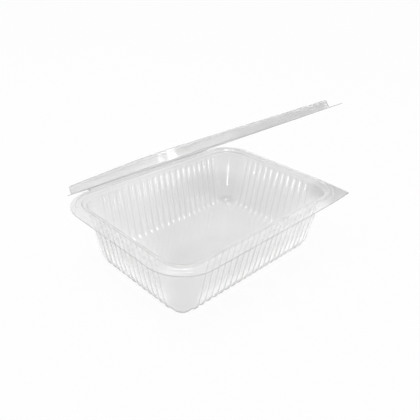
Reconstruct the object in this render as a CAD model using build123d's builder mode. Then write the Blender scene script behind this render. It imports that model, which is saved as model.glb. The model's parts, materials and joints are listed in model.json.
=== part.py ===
# Hinged clear plastic food pack: a ribbed tub and a shallow lid joined by a crease.
# Millimetres. X runs along the crease, +Y is the crease side, +Z is up.
# The origin is the middle of the tub's underside. The lid is drawn half open.
import os
from math import atan, cos, degrees, radians, sin, tan

from build123d import *

# Overall sizes
length = 180.0
width = 134.0
corner_radius = 28.0
tub_height = 50.0
sheet = 0.5

# Rim of the tub, from the outer edge inward
lip_width = 3.6
bead_width = 5.0
bead_height = 2.4
bead_lean = 14.0
bead_chamfer = 0.6
shelf_drop = 1.8
shelf_width = 2.9
mouth_chamfer = 0.6

# Walls of the tub
draft = 11.0
floor_round = 7.0
foot_facets = 3

# Ribs of the tub walls
rib_pitch = 6.0
long_side_ribs = 20
short_side_ribs = 12
rib_height = 1.0
rib_crest = 1.4
rib_flank_angle = 38.0
rib_start = 1.2
rib_fade = 1.8
rib_foot_extra = 2.1

# Pull tab at one front corner
tab_set_back_x = 2.0
tab_set_back_y = 1.0
tab_tip_round = 2.0

# Lid
lid_lip_width = 2.5
lid_band_height = 5.8
lid_band_lean = 8.0
lid_ridge_width = 4.6
lid_step = 1.2
lid_step_lean = 20.0
lid_chamfer = 0.6

# Crease between the tub and the lid
lid_gap = 0.4
hinge_gap = 0.4
open_angle = 30.0

# Heights, insets and places that follow from the sizes above
lip_top = tub_height - bead_height
shelf_top = tub_height - shelf_drop
bead_inset = lip_width + bead_width
mouth_inset = bead_inset + shelf_width
ridge_inset = lid_lip_width + lid_band_height * tan(radians(lid_band_lean)) + lid_ridge_width
ridge_top = lid_gap / 2 + sheet + lid_band_height
hinge_y = width / 2 + hinge_gap
hinge_z = lip_top + lid_gap / 2


def rim_outline(inset):
    """Rounded rectangle this far inside the outer edge of the lip."""
    RectangleRounded(length - 2 * inset, width - 2 * inset, max(corner_radius - inset, sheet))


def wall_levels(out, floor, radius):
    """Inset and height of each corner of a wall's section, up the rounded foot to the shelf.

    The section is shifted outwards from the inner face of the wall by out.
    """
    turn = radians(90 - draft)
    top_inset = mouth_inset - out
    foot_inset = top_inset + (shelf_top - floor) * tan(radians(draft)) + radius * tan(turn / 2)
    levels = []
    for i in range(foot_facets + 1):
        angle = turn * i / foot_facets
        levels.append((foot_inset - radius * sin(angle), floor + radius * (1 - cos(angle))))
    levels.append((top_inset, shelf_top))
    return levels


def rib_section(half_span, out, floor):
    """Upright section through one rib, which fades into the wall below the shelf."""
    levels = wall_levels(out + rib_height, floor, floor_round + out + rib_foot_extra)
    top = shelf_top - rib_start
    fade = top - rib_fade
    slope = tan(radians(draft))
    crest = [(half_span - inset, height) for inset, height in levels[:-1]]
    crest.append((half_span - levels[-1][0] - (shelf_top - fade) * slope, fade))
    crest.append((half_span - levels[-1][0] - rib_height - (shelf_top - top) * slope, top))
    root = crest[0][0] - floor_round / 2
    with BuildSketch() as section:
        Polygon((root, floor), *crest, (root, top), align=None)
    return section.sketch


def rib(half_span, out, floor):
    """Rib in the middle of the +X wall: a flat crest with a sloping flank at each side."""
    half_crest = rib_crest / 2 - (sheet - out) * tan(radians(rib_flank_angle / 2))
    depth = rib_height + sheet
    flank = depth / tan(radians(rib_flank_angle))
    section = rib_section(half_span, out, floor)
    with BuildPart() as one_rib:
        with BuildSketch(Plane.XZ):
            add(section)
        extrude(amount=half_crest + flank, both=True)
        for end in (0, -1):
            side = one_rib.faces().filter_by(Axis.Y).sort_by(Axis.Y)[end]
            outer_edges = side.edges() - side.edges().filter_by(Axis.X) - side.edges().filter_by(Axis.Z)
            chamfer(outer_edges, depth, flank, reference=side)
    return one_rib.part


def rib_places(count, turn):
    """Even row of places along a wall that faces this way round the tub, and its opposite."""
    row = []
    for i in range(count):
        shift = (i - (count - 1) / 2) * rib_pitch
        for angle in (turn, turn + 180):
            row.append(Location((0, 0, 0), (0, 0, angle)) * Location((0, shift, 0)))
    return row


def tub_block(out, floor):
    """Solid shape bounded by the inner (out = 0) or outer (out = sheet) face of the tub."""
    short_wall_rib = rib(length / 2, out, floor)
    long_wall_rib = rib(width / 2, out, floor)
    with BuildPart() as block:
        levels = wall_levels(out, floor, floor_round + out)
        for (low_inset, low), (high_inset, high) in zip(levels, levels[1:]):
            with BuildSketch(Plane.XY.offset(high)):
                rim_outline(high_inset)
            extrude(amount=low - high, taper=degrees(atan((low_inset - high_inset) / (high - low))))
        with Locations(*rib_places(short_side_ribs, 0)):
            add(short_wall_rib, clean=False)
        with Locations(*rib_places(long_side_ribs, 90)):
            add(long_wall_rib, clean=False)
    return block.part


# Outer edge of a lip, with the pull tab at its front right corner
with BuildSketch() as lip_outline:
    rim_outline(0)
    with BuildLine():
        Polyline(
            (length / 2, corner_radius - width / 2),
            (length / 2 - tab_set_back_x, tab_set_back_y - width / 2),
            (length / 2 - corner_radius, -width / 2),
            (length / 2 - corner_radius, corner_radius - width / 2),
            close=True,
        )
    make_face()
    fillet(lip_outline.vertices().sort_by_distance((length, -width))[0], tab_tip_round)

outer_block = tub_block(sheet, 0)
inner_block = tub_block(0, sheet)

with BuildPart() as tub:
    # Flat lip with the pull tab
    with BuildSketch(Plane.XY.offset(lip_top - sheet)):
        add(lip_outline.sketch)
    extrude(amount=sheet)
    # Raised bead, hollow underneath
    with BuildSketch(Plane.XY.offset(lip_top)):
        rim_outline(lip_width)
    extrude(amount=bead_height, taper=bead_lean)
    with BuildSketch(Plane.XY.offset(lip_top - sheet)):
        rim_outline(lip_width + sheet)
    extrude(amount=bead_height, taper=bead_lean, mode=Mode.SUBTRACT)
    # Inner face of the bead and the shelf around the mouth
    with BuildSketch(Plane.XY.offset(shelf_top - sheet)):
        rim_outline(bead_inset - sheet)
    extrude(amount=shelf_drop + sheet, taper=-bead_lean)
    with BuildSketch(Plane.XY.offset(shelf_top)):
        rim_outline(bead_inset)
    extrude(amount=shelf_drop, taper=-bead_lean, mode=Mode.SUBTRACT)
    chamfer(tub.faces().sort_by(Axis.Z)[-1].edges(), bead_chamfer)
    # Ribbed walls and floor
    add(outer_block)
    add(inner_block, mode=Mode.SUBTRACT)
    shelf = tub.faces().filter_by_position(Axis.Z, shelf_top - sheet / 2, shelf_top + sheet / 2)
    chamfer(shelf.sort_by(SortBy.AREA)[-1].inner_wires()[0].edges(), mouth_chamfer)

# Lid drawn closed, with the crease on the X axis
with BuildPart() as closed_lid:
    # Flat lip with the pull tab
    with BuildSketch(Plane((0, -hinge_y, lid_gap / 2))):
        add(lip_outline.sketch)
    extrude(amount=sheet)
    # Leaning band around the lid, hollow underneath
    with BuildSketch(Plane((0, -hinge_y, ridge_top - lid_band_height))):
        rim_outline(lid_lip_width)
    extrude(amount=lid_band_height, taper=lid_band_lean)
    with BuildSketch(Plane((0, -hinge_y, ridge_top - sheet - lid_band_height))):
        rim_outline(lid_lip_width + sheet)
    extrude(amount=lid_band_height, taper=lid_band_lean, mode=Mode.SUBTRACT)
    # Flat panel sunk inside the ridge
    with BuildSketch(Plane((0, -hinge_y, ridge_top - sheet))):
        rim_outline(ridge_inset - sheet)
    extrude(amount=-lid_step, taper=lid_step_lean)
    with BuildSketch(Plane((0, -hinge_y, ridge_top))):
        rim_outline(ridge_inset)
    extrude(amount=-lid_step, taper=lid_step_lean, mode=Mode.SUBTRACT)
    chamfer(closed_lid.faces().sort_by(Axis.Z)[-1].edges(), lid_chamfer)

# Lid swung to its half open rest
with BuildPart() as lid:
    with Locations(Location((0, hinge_y, hinge_z), (-open_angle, 0, 0))):
        add(closed_lid.part)

os.makedirs("parts", exist_ok=True)
for piece, label in ((tub, "tub"), (lid, "lid")):
    piece.part.label = label
    export_step(piece.part, f"parts/{label}.step")
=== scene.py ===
# Clear plastic clamshell pack: a ribbed tub and a shallow lid of thin sheet, joined by a crease.
import json
from math import atan2, cos, pi, radians, sin, tan

import bpy
from mathutils import Matrix, Vector


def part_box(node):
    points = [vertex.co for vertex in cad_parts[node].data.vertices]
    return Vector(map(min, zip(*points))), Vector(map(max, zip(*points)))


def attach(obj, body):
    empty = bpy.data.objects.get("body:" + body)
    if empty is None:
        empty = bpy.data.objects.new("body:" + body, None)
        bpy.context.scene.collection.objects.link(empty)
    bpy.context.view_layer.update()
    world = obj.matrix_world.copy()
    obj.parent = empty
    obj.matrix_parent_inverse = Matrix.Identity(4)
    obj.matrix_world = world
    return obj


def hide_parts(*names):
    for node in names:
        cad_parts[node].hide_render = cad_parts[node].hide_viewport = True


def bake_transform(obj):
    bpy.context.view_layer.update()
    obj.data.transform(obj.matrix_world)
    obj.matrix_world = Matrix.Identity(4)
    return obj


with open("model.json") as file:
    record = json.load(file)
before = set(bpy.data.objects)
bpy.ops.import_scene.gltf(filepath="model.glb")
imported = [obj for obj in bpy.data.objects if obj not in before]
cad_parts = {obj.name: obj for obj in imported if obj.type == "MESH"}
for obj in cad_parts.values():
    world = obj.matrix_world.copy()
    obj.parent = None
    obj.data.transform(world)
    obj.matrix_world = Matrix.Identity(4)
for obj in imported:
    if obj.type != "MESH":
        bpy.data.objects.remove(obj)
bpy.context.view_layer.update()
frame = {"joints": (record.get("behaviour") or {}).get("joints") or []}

MM = 0.001

# Sizes in millimetres and the lid's angle, from the frame
tub_low, tub_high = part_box("tub")
LENGTH, WIDTH, HEIGHT = [round((high - low) / MM, 1) for low, high in zip(tub_low, tub_high)]
hinge = frame["joints"][0]
HINGE_Y, HINGE_Z = [round(place / MM, 1) for place in hinge["pos_m"][1:]]
OPEN = radians(-hinge["range_deg"][0])

# Sheet: as thick as the CAD model's at the tub's floor, and thinner higher up and in the lid
SHEET = 0.5
RIM_SHEET = 0.32
THICK_BELOW = 6.0

# Round corners of the rim, and the rectangle that their centres span
CORNER = 28.0
CORE_X = LENGTH / 2 - CORNER
CORE_Y = WIDTH / 2 - CORNER

# Rim of the tub: insets from the CAD model's outline, heights and the radii of its folds
EDGE_INSET = 0.25
EDGE_LOOP = 0.6
LIP_WIDTH = 3.6
BEAD_HEIGHT = 2.4
BEAD_INSET = 8.6
BEAD_SLOPE = 0.25
SHELF_DROP = 1.8
MOUTH_INSET = 11.5
FOLD_ROUND = 0.4
BEAD_ROUND = 0.9
LIP_TOP = HEIGHT - BEAD_HEIGHT
SHELF_TOP = HEIGHT - SHELF_DROP

# Walls of the tub, and the heights of the rows below the ribs' tops
DRAFT = radians(11)
FOOT_ROUND = 7.0
WALL_ROWS = (45.0, 38.0, 30.0, 22.0, 14.0)

# Ribs: half a crest and a flank are measured along the wall
LONG_RIBS = 20
SHORT_RIBS = 12
RIB_PITCH = 6.0
RIB_HEIGHT = 1.5
RIB_HALF_CREST = 0.3
RIB_FLANK = 2.3
RIB_TOP = 46.9
RIB_FADE = 1.5
RIB_FOOT_EXTRA = 1.0

# Pull tab at the front right corner
TAB_SET_BACK_X = 2.0
TAB_SET_BACK_Y = 1.0
TAB_TIP = Vector((LENGTH / 2 - TAB_SET_BACK_X, TAB_SET_BACK_Y - WIDTH / 2))
TAB_ROUND = 2.0

# Closed lid: heights above the crease, and how far its band and step lean in
LID_LIP_TOP = 0.7
LID_LIP_WIDTH = 2.5
LID_BAND_HEIGHT = 5.8
LID_BAND_RUN = 0.815
LID_RIDGE_WIDTH = 4.6
LID_STEP = 1.2
LID_STEP_RUN = 0.435
LID_PANEL_LOOP = 12.0

# Crease: its bend round the hinge line, and how far its edges reach in along the lips
CREASE_RADIUS = 0.46
CREASE_HALF_SHEET = 0.15
CREASE_REACH = 0.35

# Fineness of the meshes, in millimetres along a wall, degrees round the tab's tip and counts
WALL_STATION = 0.6
CORNER_STATIONS = 24
TAB_STATIONS = (-4, -3, -2.2, -1.5, -0.8, 0, 0.8, 1.5, 2.2, 3, 4)
ROUND_STEPS = 4
FADE_STEPS = 5
FOOT_STEPS = 12
CREASE_ROWS = 62
CREASE_STEPS = 10


def smooth(share):
    """Smooth step from 0 to 1."""
    share = max(0.0, min(1.0, share))
    return share * share * (3 - 2 * share)


def corner_arc(before, corner, after, radius):
    """Way back along the first side, half the corner's angle and the centre of its arc."""
    back = (before - corner).normalized()
    on = (after - corner).normalized()
    half = back.angle(on) / 2
    return back, half, corner + (back + on).normalized() * radius / sin(half)


def tab_reach(angle):
    """Distance from the tab corner's centre to the tab's edge in this direction."""
    centre = Vector((CORE_X, -CORE_Y))
    way = Vector((cos(angle), sin(angle)))
    ends = Vector((LENGTH / 2, -CORE_Y)), Vector((CORE_X, -WIDTH / 2))
    reaches = []
    for end in ends:
        side = TAB_TIP - end
        normal = Vector((side.y, -side.x)).normalized()
        reaches.append(normal.dot(end - centre) / normal.dot(way))
    best = min(reach for reach in reaches if reach > 0)
    half, middle = corner_arc(ends[0], TAB_TIP, ends[1], TAB_ROUND)[1:]
    middle = middle - centre
    off = abs(middle.x * way.y - middle.y * way.x)
    if off < TAB_ROUND and (centre + way * best - TAB_TIP).length < TAB_ROUND / tan(half):
        best = middle.dot(way) + (TAB_ROUND**2 - off**2) ** 0.5
    return best


def stations():
    """Places round the rim: point on the inner core, outward way, rib share and lip reach."""
    places = []
    # Each side's way along, its outward way, its length, its ribs and its start
    sides = (
        ((1, 0), (0, -1), 2 * CORE_X, LONG_RIBS, (-CORE_X, -CORE_Y)),
        ((0, 1), (1, 0), 2 * CORE_Y, SHORT_RIBS, (CORE_X, -CORE_Y)),
        ((-1, 0), (0, 1), 2 * CORE_X, LONG_RIBS, (CORE_X, CORE_Y)),
        ((0, -1), (-1, 0), 2 * CORE_Y, SHORT_RIBS, (-CORE_X, CORE_Y)),
    )
    for index, (along, out, run, ribs, start) in enumerate(sides):
        steps = round(run / WALL_STATION)
        for i in range(steps):
            shift = run * i / steps
            place = (shift - run / 2) / RIB_PITCH + (ribs - 1) / 2
            nearest = min(max(round(place), 0), ribs - 1)
            off_rib = abs(place - nearest) * RIB_PITCH
            share = 1 - smooth((off_rib - RIB_HALF_CREST) / RIB_FLANK)
            places.append((Vector(start) + Vector(along) * shift, Vector(out), share, CORNER))
        corner = Vector(start) + Vector(along) * run
        first = atan2(out[1], out[0])
        turns = [pi / 2 * i / CORNER_STATIONS for i in range(CORNER_STATIONS)]
        has_tab = index == 0
        if has_tab:
            tip = TAB_TIP - corner
            tip_turn = atan2(tip.y, tip.x) - first
            turns = sorted(turns + [tip_turn + radians(step) for step in TAB_STATIONS])
        for turn in turns:
            angle = first + turn
            reach = tab_reach(angle) if has_tab and turn > 0 else CORNER
            places.append((corner, Vector((cos(angle), sin(angle))), 0.0, reach))
    return places


def rounded(corners):
    """Line through (inset, height, radius) corners, with an arc at each one that has a radius."""
    points = [Vector(corner[:2]) for corner in corners]
    line = [points[0]]
    for before, point, after, corner in zip(points, points[1:], points[2:], corners[1:]):
        radius = corner[2]
        if not radius:
            line.append(point)
            continue
        back, half, middle = corner_arc(before, point, after, radius)
        inward = middle - point
        start = point + back * radius / tan(half) - middle
        turn = pi - 2 * half
        if back.x * inward.y - back.y * inward.x > 0:
            turn = -turn
        for i in range(ROUND_STEPS + 1):
            c, s = cos(turn * i / ROUND_STEPS), sin(turn * i / ROUND_STEPS)
            line.append(middle + Vector((start.x * c - start.y * s, start.x * s + start.y * c)))
    line.append(points[-1])
    return line


def shifted(line, amounts):
    """The same line moved sideways at each point by that point's amount, its corners kept."""
    moved = []
    for i, point in enumerate(line):
        ways = []
        if i + 1 < len(line):
            ways.append((line[i + 1] - point).normalized())
        if i > 0:
            ways.append((point - line[i - 1]).normalized())
        normals = [Vector((-way.y, way.x)) for way in ways]
        mean = sum(normals, Vector((0, 0))).normalized()
        # A sharp corner moves at most twice as far
        lean = max(0.5, mean.dot(normals[0]))
        moved.append(point + mean * amounts[i] / lean)
    return moved


def lip_edge(top, bottom):
    """Points that close the sheet at the lip's edge, as two soft corners and a fine groove between."""
    middle = (top + bottom) / 2
    radius = (top - bottom).length / 2
    angles = [pi * i / ROUND_STEPS for i in range(1, ROUND_STEPS)]
    return [middle + Vector((-radius * abs(cos(angle)), radius * cos(angle))) for angle in angles]


def unribbed(line):
    """Rows of (wall point, rib point, rib share) that the ribs leave as they are."""
    return [(point, point, 0.0) for point in line]


def tub_rows():
    """Rows of the tub's sheet, from the floor up its inner face, over the lip and back below."""
    slope = tan(DRAFT)
    wall_lead = 3.0
    rim = rounded(
        [
            (EDGE_INSET, LIP_TOP, 0),
            (EDGE_LOOP, LIP_TOP, 0),
            (LIP_WIDTH, LIP_TOP, FOLD_ROUND),
            (LIP_WIDTH + BEAD_HEIGHT * BEAD_SLOPE, HEIGHT, BEAD_ROUND),
            (BEAD_INSET - SHELF_DROP * BEAD_SLOPE, HEIGHT, BEAD_ROUND),
            (BEAD_INSET, SHELF_TOP, FOLD_ROUND),
            (MOUTH_INSET, SHELF_TOP, BEAD_ROUND),
            (MOUTH_INSET + wall_lead * slope, SHELF_TOP - wall_lead, 0),
        ]
    )
    rows = unribbed(rim[:-1])
    fade_rows = [RIB_TOP - RIB_FADE * i / FADE_STEPS for i in range(FADE_STEPS + 1)]
    for height in (*fade_rows, *WALL_ROWS):
        inset = MOUTH_INSET + (SHELF_TOP - height) * slope
        share = smooth((RIB_TOP - height) / RIB_FADE)
        rows.append((Vector((inset, height)), Vector((inset - RIB_HEIGHT, height)), share))
    turn = pi / 2 - DRAFT
    foot_end = MOUTH_INSET + (SHELF_TOP - SHEET) * slope + FOOT_ROUND * tan(turn / 2)
    crest_round = FOOT_ROUND + RIB_FOOT_EXTRA
    crest_end = foot_end - RIB_HEIGHT + RIB_FOOT_EXTRA * tan(turn / 2)
    for i in range(FOOT_STEPS + 1):
        angle = turn * (1 - i / FOOT_STEPS)
        out, rise = sin(angle), 1 - cos(angle)
        wall = Vector((foot_end - FOOT_ROUND * out, SHEET + FOOT_ROUND * rise))
        crest = Vector((crest_end - crest_round * out, SHEET + crest_round * rise))
        rows.append((wall, crest, 1.0))
    rows += unribbed([Vector((foot_end + EDGE_LOOP, SHEET))])
    depths = [smooth((THICK_BELOW - row[0].y) / (THICK_BELOW - SHEET)) for row in rows]
    amounts = [-RIM_SHEET - (SHEET - RIM_SHEET) * depth for depth in depths]
    under_walls = shifted([row[0] for row in rows], amounts)
    under_crests = shifted([row[1] for row in rows], amounts)
    shares = [row[2] for row in rows]
    under = list(zip(under_walls, under_crests, shares))
    return rows[::-1] + unribbed(lip_edge(rows[0][0], under[0][0])) + under


def lid_rows():
    """Rows of the closed lid's sheet, from its panel out to the lip and back below."""
    ridge_top = LID_LIP_TOP + LID_BAND_HEIGHT
    ridge_inset = LID_LIP_WIDTH + LID_BAND_RUN + LID_RIDGE_WIDTH
    panel = ridge_top - LID_STEP
    upper = rounded(
        [
            (EDGE_INSET, LID_LIP_TOP, 0),
            (EDGE_LOOP, LID_LIP_TOP, 0),
            (LID_LIP_WIDTH, LID_LIP_TOP, FOLD_ROUND),
            (LID_LIP_WIDTH + LID_BAND_RUN, ridge_top, BEAD_ROUND),
            (ridge_inset, ridge_top, BEAD_ROUND),
            (ridge_inset + LID_STEP_RUN, panel, FOLD_ROUND),
            (LID_PANEL_LOOP, panel, 0),
        ]
    )
    under = shifted(upper, [-RIM_SHEET] * len(upper))
    return unribbed(upper[::-1] + lip_edge(upper[0], under[0]) + under)


def tub_place(x, y, z):
    """From millimetres to metres."""
    return (x * MM, y * MM, z * MM)


def lid_place(x, y, z):
    """From the closed lid, with its height taken above the crease, to the half open rest in metres."""
    ahead = y - HINGE_Y
    return (
        x * MM,
        (HINGE_Y + ahead * cos(OPEN) + z * sin(OPEN)) * MM,
        (HINGE_Z - ahead * sin(OPEN) + z * cos(OPEN)) * MM,
    )


def sheet_rings(rows, lip_width, place):
    """Rings of points: each row of (wall point, rib point, rib share) taken once round the rim.

    Across the lip the rings change from the round corner to the tab's outline.
    """
    ring = stations()
    rings = []
    for wall, crest, share in rows:
        points = []
        for core, out, rib, reach in ring:
            mix = rib * share
            inset = wall.x * (1 - mix) + crest.x * mix
            height = wall.y * (1 - mix) + crest.y * mix
            far = CORNER - inset
            if inset < lip_width:
                inner = CORNER - lip_width
                far = inner + (lip_width - inset) / lip_width * (reach - inner)
            spot = core + out * far
            points.append(place(spot.x, spot.y, height))
        rings.append(points)
    return rings


def crease_rings():
    """Rings of points along the crease: a bend of sheet from the tub's lip round to the lid's."""
    start = -pi / 2
    end = pi / 2 - OPEN
    angles = [start + (end - start) * i / CREASE_STEPS for i in range(CREASE_STEPS + 1)]
    inner = [(CREASE_RADIUS - CREASE_HALF_SHEET, angle) for angle in angles]
    outer = [(CREASE_RADIUS + CREASE_HALF_SHEET, angle) for angle in angles]
    section = []
    for radius, angle in inner + outer[::-1]:
        y = HINGE_Y + radius * cos(angle) - CREASE_REACH * (1 - cos(angle))
        section.append((y * MM, (HINGE_Z + radius * sin(angle)) * MM))
    places = [-CORE_X + 2 * CORE_X * i / CREASE_ROWS for i in range(CREASE_ROWS + 1)]
    return [[(x * MM, y, z) for y, z in section] for x in places]


def add_object(name, data):
    piece = bpy.data.objects.new(name, data)
    bpy.context.collection.objects.link(piece)
    return piece


def closed_piece(name, rings):
    """Smooth piece whose rings of points are joined in turn, with a face over the first and last."""
    count = len(rings[0])
    faces = []
    for first in range(0, count * (len(rings) - 1), count):
        for i in range(count):
            j = (i + 1) % count
            faces.append((first + i, first + count + i, first + count + j, first + j))
    faces.append(tuple(range(count)))
    last = count * (len(rings) - 1)
    faces.append(tuple(range(last, last + count))[::-1])
    mesh = bpy.data.meshes.new(name)
    mesh.from_pydata([point for ring in rings for point in ring], [], faces)
    mesh.update()
    mesh.shade_smooth()
    return add_object(name, mesh)


def add_node(tree, kind, **values):
    node = tree.nodes.new(kind)
    for name, value in values.items():
        setattr(node, name, value)
    return node


def set_input(tree, socket, value):
    """Gives a socket a number or a link."""
    if isinstance(value, (int, float)):
        socket.default_value = value
    else:
        tree.links.new(value, socket)


def calc(tree, operation, *values):
    node = add_node(tree, "ShaderNodeMath", operation=operation)
    for socket, value in zip(node.inputs, values):
        set_input(tree, socket, value)
    return node.outputs[0]


def ramp(tree, value, low, high, start=1.0, end=0.0):
    """Smooth step from start, where the value is low, to end, where it is high."""
    node = add_node(tree, "ShaderNodeMapRange", interpolation_type="SMOOTHSTEP")
    tree.links.new(value, node.inputs["Value"])
    for name, number in (("From Min", low), ("From Max", high), ("To Min", start), ("To Max", end)):
        node.inputs[name].default_value = number
    return node.outputs[0]


def near(tree, place, centre, inner, outer):
    """1 within inner of the centre, falling smoothly to 0 at outer."""
    gap = add_node(tree, "ShaderNodeVectorMath", operation="DISTANCE")
    tree.links.new(place, gap.inputs[0])
    gap.inputs[1].default_value = centre
    return ramp(tree, gap.outputs["Value"], inner, outer)


def axes(tree, vector):
    """The vector's X, Y and Z."""
    split = tree.nodes.new("ShaderNodeSeparateXYZ")
    tree.links.new(vector, split.inputs[0])
    return split.outputs


def turned(tree, x, y, way):
    """Distances ahead and to the left, for someone who looks along this level way."""
    c, s = way
    ahead = calc(tree, "MULTIPLY_ADD", x, c, calc(tree, "MULTIPLY", y, s))
    left = calc(tree, "MULTIPLY_ADD", y, c, calc(tree, "MULTIPLY", x, -s))
    return ahead, left


def bar(tree, way, turn, half, low, reach):
    """1 inside a soft-edged bar of the sky that rises at this turn from +X.

    It is about half degrees wide to each side. It starts at the height low, and stops where the
    way's level part falls below reach.
    """
    soft = 0.05
    x, y, z = axes(tree, way)
    ahead, left = turned(tree, x, y, (cos(radians(turn)), sin(radians(turn))))
    off = calc(tree, "ABSOLUTE", left)
    across = ramp(tree, off, sin(radians(half * 0.6)), sin(radians(half * 1.6)))
    rise = ramp(tree, z, low - soft, low + soft, 0.0, 1.0)
    fall = ramp(tree, ahead, reach - soft, reach + soft, 0.0, 1.0)
    return calc(tree, "MULTIPLY", across, calc(tree, "MULTIPLY", rise, fall))


def with_patches(tree, level, patches):
    """The level, changed within each patch by that patch's amount."""
    for patch, change in patches:
        level = calc(tree, "MULTIPLY_ADD", patch, change, level)
    return level


def glow(tree, kind, level):
    """Even white glow of this level."""
    node = tree.nodes.new(kind)
    node.inputs["Color"].default_value = (1, 1, 1, 1)
    set_input(tree, node.inputs["Strength"], level)
    return node.outputs[0]


def mix_shaders(tree, share, first, second):
    node = tree.nodes.new("ShaderNodeMixShader")
    set_input(tree, node.inputs[0], share)
    tree.links.new(first, node.inputs[1])
    tree.links.new(second, node.inputs[2])
    return node.outputs[0]


def by_ray(tree, kind, seen, through, mirrored, rest):
    """The shader seen by the camera, and glows for what clear plastic shows and is lit by."""
    path = tree.nodes.new("ShaderNodeLightPath")
    shader = glow(tree, kind, rest)
    shader = mix_shaders(tree, path.outputs["Is Glossy Ray"], shader, glow(tree, kind, mirrored))
    shader = mix_shaders(tree, path.outputs["Is Transmission Ray"], shader, glow(tree, kind, through))
    return mix_shaders(tree, path.outputs["Is Camera Ray"], shader, seen)


def noise(tree, scale, detail):
    node = add_node(tree, "ShaderNodeTexNoise")
    node.inputs["Scale"].default_value = scale
    node.inputs["Detail"].default_value = detail
    place = tree.nodes.new("ShaderNodeTexCoord").outputs["Object"]
    tree.links.new(place, node.inputs["Vector"])
    return node.outputs[0]


def clear_plastic(name, clear, rough):
    """Clear sheet, slightly wavy and uneven from the forming."""
    material = bpy.data.materials.new(name)
    material.use_nodes = True
    tree = material.node_tree
    shader = tree.nodes["Principled BSDF"]
    shader.inputs["IOR"].default_value = 1.46
    shader.inputs["Transmission Weight"].default_value = clear
    # Faint white glow: painted light that lifts the whole sheet
    shader.inputs["Emission Color"].default_value = (1, 1, 1, 1)
    shader.inputs["Emission Strength"].default_value = 0.015
    haze = noise(tree, scale=45, detail=4)
    low, high = 0.3, 0.7
    uneven = ramp(tree, haze, low, high, rough * 0.5, rough * 1.5)
    tree.links.new(uneven, shader.inputs["Roughness"])
    shade = tree.nodes.new("ShaderNodeCombineColor")
    for socket in shade.inputs:
        tree.links.new(ramp(tree, haze, low, high, 0.99, 0.975), socket)
    tree.links.new(shade.outputs[0], shader.inputs["Base Color"])
    bump = tree.nodes.new("ShaderNodeBump")
    bump.inputs["Strength"].default_value = 0.25
    bump.inputs["Distance"].default_value = 0.0004
    tree.links.new(noise(tree, scale=110, detail=1), bump.inputs["Height"])
    tree.links.new(bump.outputs[0], shader.inputs["Normal"])
    return material


tub = closed_piece("tub_sheet", sheet_rings(tub_rows(), LIP_WIDTH, tub_place))
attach(tub, "tub")
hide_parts("tub")
tub_clear = clear_plastic("tub_clear", clear=0.91, rough=0.05)
tub.data.materials.append(tub_clear)

lid = closed_piece("lid_sheet", sheet_rings(lid_rows(), LID_LIP_WIDTH, lid_place))
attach(lid, "lid")
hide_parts("lid")
lid.data.materials.append(clear_plastic("lid_clear", clear=0.85, rough=0.10))

crease = closed_piece("crease", crease_rings())
crease.data.materials.append(tub_clear)
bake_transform(crease)

# Floor, just under the pack, in metres
FLOOR_HALF = 3
FLOOR_HEIGHT = -0.0003
SQUARE = ((-1, -1), (1, -1), (1, 1), (-1, 1))

# Level way in which the camera looks
HEADING = (0.714, 0.700)

# Brightness, where white is 1: seen through the plastic, mirrored in it, and lighting it all round
FLOOR_THROUGH = 0.705
FLOOR_MIRRORED = 0.9
SKY_THROUGH = 0.95
SKY_MIRRORED = 1.15
ALL_ROUND = 0.7


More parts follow.
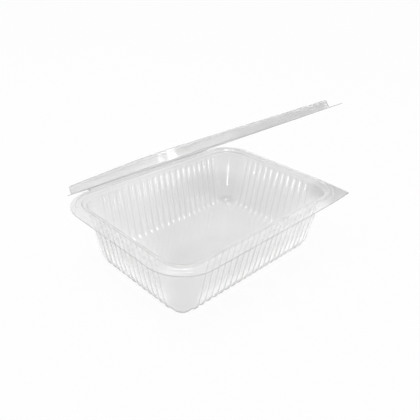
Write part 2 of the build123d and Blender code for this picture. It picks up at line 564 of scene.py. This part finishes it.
def floor_levels(tree):
    """How bright the floor is where it is seen through the plastic, and where it is mirrored.

    Each is a plain level with soft patches of painted light and shade. Some stand for the studio round
    the pack, and some are the pack's own shadows and glints painted into the floor.
    Places are in metres, and the camera stands towards -X and -Y and looks along HEADING.
    """
    position = tree.nodes.new("ShaderNodeNewGeometry").outputs["Position"]
    east, north = axes(tree, position)[:2]
    behind, left = turned(tree, east, north, HEADING)
    # Bright wedge left of the pack, mirrored as streaks in its far corner and on its ribs
    wedge_tip = (0.072, 0.049, 0)
    wedge_way = (-0.662, -0.750, 0)
    card_level = 10.0
    gap = add_node(tree, "ShaderNodeVectorMath", operation="SUBTRACT")
    tree.links.new(position, gap.inputs[0])
    gap.inputs[1].default_value = wedge_tip
    way = add_node(tree, "ShaderNodeVectorMath", operation="NORMALIZE")
    tree.links.new(gap.outputs[0], way.inputs[0])
    wedge = near(tree, way.outputs[0], wedge_way, 0.08, 0.14)
    outside = ramp(tree, east, -0.13, -0.10)
    not_far = near(tree, position, (0, 0, 0), 0.9, 1.1)
    card = calc(tree, "MULTIPLY", wedge, calc(tree, "MULTIPLY", outside, not_far))
    # Painted light: the floor seen through the front walls is made lighter, and a bright line at their
    # feet is a painted glint, apart from the near corner
    foot_x, foot_y = -0.062, -0.039
    foot_line = 0.0005
    corner_left = 0.0155
    past_x = calc(tree, "SUBTRACT", foot_x, east)
    past_y = calc(tree, "SUBTRACT", foot_y, north)
    past_foot = calc(tree, "MAXIMUM", past_x, past_y)
    off_corner = calc(tree, "ABSOLUTE", calc(tree, "SUBTRACT", left, corner_left))
    beside = ramp(tree, off_corner, 0.006, 0.014, 0.0, 1.0)
    front = calc(tree, "MULTIPLY", beside, ramp(tree, past_foot, -0.045, -0.015, 0.0, 1.0))
    off_foot = calc(tree, "ABSOLUTE", calc(tree, "SUBTRACT", past_foot, foot_line))
    feet = calc(tree, "MULTIPLY", beside, ramp(tree, off_foot, 0.002, 0.005))
    far_behind = ramp(tree, behind, 0.18, 0.34, 0.0, 1.0)
    through = with_patches(
        tree,
        FLOOR_THROUGH,
        (
            (card, card_level),
            (front, 0.07),
            (feet, 0.25),
            # Lighter to the left in the picture, and in the middle of the tub's floor
            (ramp(tree, left, 0.03, 0.07, 0.0, 1.0), 0.09),
            (near(tree, position, (0.03, 0.01, 0), 0.0, 0.06), 0.04),
            # Darker past the pack's left end, and lighter in front of its right end
            (ramp(tree, east, -0.20, -0.12), -0.25),
            (near(tree, position, (0.12, -0.12, 0), 0.05, 0.15), 0.3),
            # Painted shade where the floor shows through the pull tab
            (near(tree, position, (0.172, -0.015, 0), 0.02, 0.04), -0.22),
            # Slightly lighter just behind the pack, and darker further back
            (ramp(tree, behind, 0.08, 0.14, 0.0, 1.0), 0.05),
            (far_behind, -0.32),
            # Painted shade behind the far corner, and a painted contact shadow at its foot
            (near(tree, position, (0.088, 0.082, 0), 0.012, 0.045), -0.10),
            (near(tree, position, (0.0745, 0.0505, 0), 0.001, 0.012), -0.17),
        ),
    )
    mirrored = with_patches(tree, FLOOR_MIRRORED, ((card, card_level), (far_behind, -0.45)))
    return through, mirrored


def floor_white():
    """Floor that the camera sees as plain white with a faint shadow."""
    material = bpy.data.materials.new("floor_white")
    material.use_nodes = True
    tree = material.node_tree
    matt = tree.nodes["Principled BSDF"]
    matt.inputs["Base Color"].default_value = (0.9, 0.9, 0.9, 1)
    matt.inputs["Roughness"].default_value = 0.9
    white = mix_shaders(tree, 0.94, matt.outputs[0], glow(tree, "ShaderNodeEmission", 1.0))
    through, mirrored = floor_levels(tree)
    shader = by_ray(tree, "ShaderNodeEmission", white, through, mirrored, ALL_ROUND)
    tree.links.new(shader, tree.nodes["Material Output"].inputs["Surface"])
    return material


floor_mesh = bpy.data.meshes.new("floor")
floor_corners = [(x * FLOOR_HALF, y * FLOOR_HALF, FLOOR_HEIGHT) for x, y in SQUARE]
floor_mesh.from_pydata(floor_corners, [], [(0, 1, 2, 3)])
floor_mesh.materials.append(floor_white())
floor = add_object("floor", floor_mesh)


def studio_sky():
    """White sky, with bright bars and darker patches that only the plastic shows."""
    world = bpy.data.worlds.new("studio")
    world.use_nodes = True
    tree = world.node_tree
    way = tree.nodes.new("ShaderNodeTexCoord").outputs["Generated"]
    bars = (
        (bar(tree, way, -151.8, half=8.0, low=0.2, reach=0.72), 4.0),
        (bar(tree, way, -118.0, half=9.0, low=0.15, reach=0.42), 6.0),
    )
    # Dark patches that the pull tab and the lid's band mirror
    dark = (
        (near(tree, way, (0.83, 0.38, 0.41), 0.05, 0.16), -1.0),
        (near(tree, way, (0.62, -0.62, 0.48), 0.20, 0.60), -0.8),
    )
    through = with_patches(tree, SKY_THROUGH, bars)
    mirrored = with_patches(tree, SKY_MIRRORED, bars + dark)
    white = glow(tree, "ShaderNodeBackground", 1.0)
    shader = by_ray(tree, "ShaderNodeBackground", white, through, mirrored, ALL_ROUND)
    tree.links.new(shader, tree.nodes["World Output"].inputs["Surface"])
    return world


bpy.context.scene.world = studio_sky()

# Soft lamp above the pack, in metres and watts
LAMP_AT = Vector((-0.2, 0.1, 1.1))
LAMP_AIM = Vector((0, 0, 0.03))
lamp_data = bpy.data.lights.new("top", "AREA")
lamp_data.shape = "RECTANGLE"
lamp_data.size = 0.5
lamp_data.size_y = 0.5
lamp_data.energy = 3
lamp = add_object("top", lamp_data)
lamp.location = LAMP_AT
lamp.rotation_mode = "QUATERNION"
lamp.rotation_quaternion = (LAMP_AIM - LAMP_AT).to_track_quat("-Z", "Y")

# Camera at the photograph's view: millimetres, and the focus in the photograph's pixels
AZIMUTH = radians(-45.59)
ELEVATION = radians(29.16)
ROLL = radians(2.37)
DISTANCE = 397.4
TARGET = Vector((20.96, 20.17, 20.0))
FOCUS = 478.9
PHOTO_WIDTH = 420
SENSOR_WIDTH = 36
back = Vector((sin(AZIMUTH) * cos(ELEVATION), -cos(AZIMUTH) * cos(ELEVATION), sin(ELEVATION)))
right = (-back).cross(Vector((0, 0, 1))).normalized()
up = right.cross(-back)
right_rolled = right * cos(ROLL) + up * sin(ROLL)
up_rolled = up * cos(ROLL) - right * sin(ROLL)
camera_data = bpy.data.cameras.new("camera")
camera_data.sensor_width = SENSOR_WIDTH
camera_data.lens = SENSOR_WIDTH * FOCUS / PHOTO_WIDTH
camera_data.clip_start = 0.01
camera_data.clip_end = 20
camera = add_object("camera", camera_data)
turn = Matrix((right_rolled, up_rolled, back)).transposed().to_4x4()
camera.matrix_world = Matrix.Translation((TARGET + back * DISTANCE) * MM) @ turn
bpy.context.scene.camera = camera
bpy.context.scene.view_settings.view_transform = "Standard"
